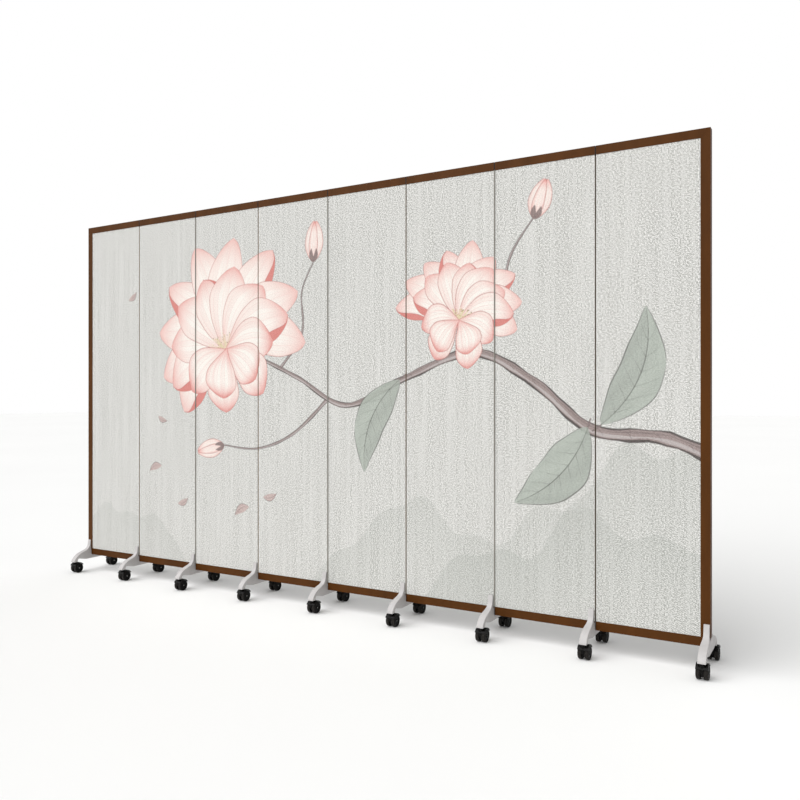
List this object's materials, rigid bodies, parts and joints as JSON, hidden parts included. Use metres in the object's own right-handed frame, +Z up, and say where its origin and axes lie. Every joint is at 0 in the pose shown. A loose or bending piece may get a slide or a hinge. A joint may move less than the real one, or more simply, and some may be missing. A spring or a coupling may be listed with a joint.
{
  "type": "folding screen",
  "caption": "Free-standing folding screen: flat fabric panels in slim brown frames, hinged edge to edge, on light grey cast feet with black twin-wheel casters.",
  "frame": {"origin": "middle of the footprint on the floor, with the panels in line and every caster trailing towards +Y", "axes": "+X along the line of panels, to the right seen from the front; -Y towards the front; +Z up"},
  "size_m": [3.251, 0.2842, 1.885],
  "materials": {
    "frame": "satin brown",
    "board": "cloth over board",
    "foot": "satin grey",
    "caster_housing": "semi-gloss black",
    "caster_wheel": "matte black"
  },
  "bodies": {
    "panel_1": {"panel_1_frame": "frame", "panel_1_board": "board", "feet_1_and_2": "foot"},
    "panel_2": {"panel_2_frame": "frame", "panel_2_board": "board", "foot_3": "foot"},
    "panel_3": {"panel_3_frame": "frame", "panel_3_board": "board", "foot_4": "foot"},
    "panel_4": {"panel_4_frame": "frame", "panel_4_board": "board", "foot_5": "foot"},
    "panel_5": {"panel_5_frame": "frame", "panel_5_board": "board", "foot_6": "foot"},
    "panel_6": {"panel_6_frame": "frame", "panel_6_board": "board", "foot_7": "foot"},
    "panel_7": {"panel_7_frame": "frame", "panel_7_board": "board", "foot_8": "foot"},
    "panel_8": {"panel_8_frame": "frame", "panel_8_board": "board", "foot_9": "foot"},
    "caster_1_front_housing": {"caster_1_front_housing": "caster_housing"},
    "caster_1_front_wheels": {"caster_1_front_wheels": "caster_wheel"},
    "caster_1_rear_housing": {"caster_1_rear_housing": "caster_housing"},
    "caster_1_rear_wheels": {"caster_1_rear_wheels": "caster_wheel"},
    "caster_2_front_housing": {"caster_2_front_housing": "caster_housing"},
    "caster_2_front_wheels": {"caster_2_front_wheels": "caster_wheel"},
    "caster_2_rear_housing": {"caster_2_rear_housing": "caster_housing"},
    "caster_2_rear_wheels": {"caster_2_rear_wheels": "caster_wheel"},
    "caster_3_front_housing": {"caster_3_front_housing": "caster_housing"},
    "caster_3_front_wheels": {"caster_3_front_wheels": "caster_wheel"},
    "caster_3_rear_housing": {"caster_3_rear_housing": "caster_housing"},
    "caster_3_rear_wheels": {"caster_3_rear_wheels": "caster_wheel"},
    "caster_4_front_housing": {"caster_4_front_housing": "caster_housing"},
    "caster_4_front_wheels": {"caster_4_front_wheels": "caster_wheel"},
    "caster_4_rear_housing": {"caster_4_rear_housing": "caster_housing"},
    "caster_4_rear_wheels": {"caster_4_rear_wheels": "caster_wheel"},
    "caster_5_front_housing": {"caster_5_front_housing": "caster_housing"},
    "caster_5_front_wheels": {"caster_5_front_wheels": "caster_wheel"},
    "caster_5_rear_housing": {"caster_5_rear_housing": "caster_housing"},
    "caster_5_rear_wheels": {"caster_5_rear_wheels": "caster_wheel"},
    "caster_6_front_housing": {"caster_6_front_housing": "caster_housing"},
    "caster_6_front_wheels": {"caster_6_front_wheels": "caster_wheel"},
    "caster_6_rear_housing": {"caster_6_rear_housing": "caster_housing"},
    "caster_6_rear_wheels": {"caster_6_rear_wheels": "caster_wheel"},
    "caster_7_front_housing": {"caster_7_front_housing": "caster_housing"},
    "caster_7_front_wheels": {"caster_7_front_wheels": "caster_wheel"},
    "caster_7_rear_housing": {"caster_7_rear_housing": "caster_housing"},
    "caster_7_rear_wheels": {"caster_7_rear_wheels": "caster_wheel"},
    "caster_8_front_housing": {"caster_8_front_housing": "caster_housing"},
    "caster_8_front_wheels": {"caster_8_front_wheels": "caster_wheel"},
    "caster_8_rear_housing": {"caster_8_rear_housing": "caster_housing"},
    "caster_8_rear_wheels": {"caster_8_rear_wheels": "caster_wheel"},
    "caster_9_front_housing": {"caster_9_front_housing": "caster_housing"},
    "caster_9_front_wheels": {"caster_9_front_wheels": "caster_wheel"},
    "caster_9_rear_housing": {"caster_9_rear_housing": "caster_housing"},
    "caster_9_rear_wheels": {"caster_9_rear_wheels": "caster_wheel"}
  },
  "joints": [
    {"name": "fold_1", "type": "hinge", "parent": "panel_1", "child": "panel_2", "pos_m": [-1.215, 0, 0.985], "axis": [0, 0, 1], "range_deg": [0, 90]},
    {"name": "fold_2", "type": "hinge", "parent": "panel_2", "child": "panel_3", "pos_m": [-0.81, -0.032, 0.985], "axis": [0, 0, -1], "range_deg": [0, 90]},
    {"name": "fold_3", "type": "hinge", "parent": "panel_3", "child": "panel_4", "pos_m": [-0.405, 0, 0.985], "axis": [0, 0, 1], "range_deg": [0, 90]},
    {"name": "fold_4", "type": "hinge", "parent": "panel_4", "child": "panel_5", "pos_m": [0, -0.032, 0.985], "axis": [0, 0, -1], "range_deg": [0, 90]},
    {"name": "fold_5", "type": "hinge", "parent": "panel_5", "child": "panel_6", "pos_m": [0.405, 0, 0.985], "axis": [0, 0, 1], "range_deg": [0, 90]},
    {"name": "fold_6", "type": "hinge", "parent": "panel_6", "child": "panel_7", "pos_m": [0.81, -0.032, 0.985], "axis": [0, 0, -1], "range_deg": [0, 90]},
    {"name": "fold_7", "type": "hinge", "parent": "panel_7", "child": "panel_8", "pos_m": [1.215, 0, 0.985], "axis": [0, 0, 1], "range_deg": [0, 90]},
    {"name": "caster_1_front_swivel", "type": "hinge", "parent": "panel_1", "child": "caster_1_front_housing", "pos_m": [-1.605, -0.131, 0.058], "axis": [0, 0, 1], "continuous": true},
    {"name": "caster_1_front_spin", "type": "hinge", "parent": "caster_1_front_housing", "child": "caster_1_front_wheels", "pos_m": [-1.605, -0.115, 0.025], "axis": [1, 0, 0], "continuous": true},
    {"name": "caster_1_rear_swivel", "type": "hinge", "parent": "panel_1", "child": "caster_1_rear_housing", "pos_m": [-1.605, 0.099, 0.058], "axis": [0, 0, 1], "continuous": true},
    {"name": "caster_1_rear_spin", "type": "hinge", "parent": "caster_1_rear_housing", "child": "caster_1_rear_wheels", "pos_m": [-1.605, 0.115, 0.025], "axis": [1, 0, 0], "continuous": true},
    {"name": "caster_2_front_swivel", "type": "hinge", "parent": "panel_1", "child": "caster_2_front_housing", "pos_m": [-1.23, -0.131, 0.058], "axis": [0, 0, 1], "continuous": true},
    {"name": "caster_2_front_spin", "type": "hinge", "parent": "caster_2_front_housing", "child": "caster_2_front_wheels", "pos_m": [-1.23, -0.115, 0.025], "axis": [1, 0, 0], "continuous": true},
    {"name": "caster_2_rear_swivel", "type": "hinge", "parent": "panel_1", "child": "caster_2_rear_housing", "pos_m": [-1.23, 0.099, 0.058], "axis": [0, 0, 1], "continuous": true},
    {"name": "caster_2_rear_spin", "type": "hinge", "parent": "caster_2_rear_housing", "child": "caster_2_rear_wheels", "pos_m": [-1.23, 0.115, 0.025], "axis": [1, 0, 0], "continuous": true},
    {"name": "caster_3_front_swivel", "type": "hinge", "parent": "panel_2", "child": "caster_3_front_housing", "pos_m": [-0.825, -0.131, 0.058], "axis": [0, 0, 1], "continuous": true},
    {"name": "caster_3_front_spin", "type": "hinge", "parent": "caster_3_front_housing", "child": "caster_3_front_wheels", "pos_m": [-0.825, -0.115, 0.025], "axis": [1, 0, 0], "continuous": true},
    {"name": "caster_3_rear_swivel", "type": "hinge", "parent": "panel_2", "child": "caster_3_rear_housing", "pos_m": [-0.825, 0.099, 0.058], "axis": [0, 0, 1], "continuous": true},
    {"name": "caster_3_rear_spin", "type": "hinge", "parent": "caster_3_rear_housing", "child": "caster_3_rear_wheels", "pos_m": [-0.825, 0.115, 0.025], "axis": [1, 0, 0], "continuous": true},
    {"name": "caster_4_front_swivel", "type": "hinge", "parent": "panel_3", "child": "caster_4_front_housing", "pos_m": [-0.42, -0.131, 0.058], "axis": [0, 0, 1], "continuous": true},
    {"name": "caster_4_front_spin", "type": "hinge", "parent": "caster_4_front_housing", "child": "caster_4_front_wheels", "pos_m": [-0.42, -0.115, 0.025], "axis": [1, 0, 0], "continuous": true},
    {"name": "caster_4_rear_swivel", "type": "hinge", "parent": "panel_3", "child": "caster_4_rear_housing", "pos_m": [-0.42, 0.099, 0.058], "axis": [0, 0, 1], "continuous": true},
    {"name": "caster_4_rear_spin", "type": "hinge", "parent": "caster_4_rear_housing", "child": "caster_4_rear_wheels", "pos_m": [-0.42, 0.115, 0.025], "axis": [1, 0, 0], "continuous": true},
    {"name": "caster_5_front_swivel", "type": "hinge", "parent": "panel_4", "child": "caster_5_front_housing", "pos_m": [-0.015, -0.131, 0.058], "axis": [0, 0, 1], "continuous": true},
    {"name": "caster_5_front_spin", "type": "hinge", "parent": "caster_5_front_housing", "child": "caster_5_front_wheels", "pos_m": [-0.015, -0.115, 0.025], "axis": [1, 0, 0], "continuous": true},
    {"name": "caster_5_rear_swivel", "type": "hinge", "parent": "panel_4", "child": "caster_5_rear_housing", "pos_m": [-0.015, 0.099, 0.058], "axis": [0, 0, 1], "continuous": true},
    {"name": "caster_5_rear_spin", "type": "hinge", "parent": "caster_5_rear_housing", "child": "caster_5_rear_wheels", "pos_m": [-0.015, 0.115, 0.025], "axis": [1, 0, 0], "continuous": true},
    {"name": "caster_6_front_swivel", "type": "hinge", "parent": "panel_5", "child": "caster_6_front_housing", "pos_m": [0.39, -0.131, 0.058], "axis": [0, 0, 1], "continuous": true},
    {"name": "caster_6_front_spin", "type": "hinge", "parent": "caster_6_front_housing", "child": "caster_6_front_wheels", "pos_m": [0.39, -0.115, 0.025], "axis": [1, 0, 0], "continuous": true},
    {"name": "caster_6_rear_swivel", "type": "hinge", "parent": "panel_5", "child": "caster_6_rear_housing", "pos_m": [0.39, 0.099, 0.058], "axis": [0, 0, 1], "continuous": true},
    {"name": "caster_6_rear_spin", "type": "hinge", "parent": "caster_6_rear_housing", "child": "caster_6_rear_wheels", "pos_m": [0.39, 0.115, 0.025], "axis": [1, 0, 0], "continuous": true},
    {"name": "caster_7_front_swivel", "type": "hinge", "parent": "panel_6", "child": "caster_7_front_housing", "pos_m": [0.795, -0.131, 0.058], "axis": [0, 0, 1], "continuous": true},
    {"name": "caster_7_front_spin", "type": "hinge", "parent": "caster_7_front_housing", "child": "caster_7_front_wheels", "pos_m": [0.795, -0.115, 0.025], "axis": [1, 0, 0], "continuous": true},
    {"name": "caster_7_rear_swivel", "type": "hinge", "parent": "panel_6", "child": "caster_7_rear_housing", "pos_m": [0.795, 0.099, 0.058], "axis": [0, 0, 1], "continuous": true},
    {"name": "caster_7_rear_spin", "type": "hinge", "parent": "caster_7_rear_housing", "child": "caster_7_rear_wheels", "pos_m": [0.795, 0.115, 0.025], "axis": [1, 0, 0], "continuous": true},
    {"name": "caster_8_front_swivel", "type": "hinge", "parent": "panel_7", "child": "caster_8_front_housing", "pos_m": [1.2, -0.131, 0.058], "axis": [0, 0, 1], "continuous": true},
    {"name": "caster_8_front_spin", "type": "hinge", "parent": "caster_8_front_housing", "child": "caster_8_front_wheels", "pos_m": [1.2, -0.115, 0.025], "axis": [1, 0, 0], "continuous": true},
    {"name": "caster_8_rear_swivel", "type": "hinge", "parent": "panel_7", "child": "caster_8_rear_housing", "pos_m": [1.2, 0.099, 0.058], "axis": [0, 0, 1], "continuous": true},
    {"name": "caster_8_rear_spin", "type": "hinge", "parent": "caster_8_rear_housing", "child": "caster_8_rear_wheels", "pos_m": [1.2, 0.115, 0.025], "axis": [1, 0, 0], "continuous": true},
    {"name": "caster_9_front_swivel", "type": "hinge", "parent": "panel_8", "child": "caster_9_front_housing", "pos_m": [1.605, -0.131, 0.058], "axis": [0, 0, 1], "continuous": true},
    {"name": "caster_9_front_spin", "type": "hinge", "parent": "caster_9_front_housing", "child": "caster_9_front_wheels", "pos_m": [1.605, -0.115, 0.025], "axis": [1, 0, 0], "continuous": true},
    {"name": "caster_9_rear_swivel", "type": "hinge", "parent": "panel_8", "child": "caster_9_rear_housing", "pos_m": [1.605, 0.099, 0.058], "axis": [0, 0, 1], "continuous": true},
    {"name": "caster_9_rear_spin", "type": "hinge", "parent": "caster_9_rear_housing", "child": "caster_9_rear_wheels", "pos_m": [1.605, 0.115, 0.025], "axis": [1, 0, 0], "continuous": true}
  ]
}
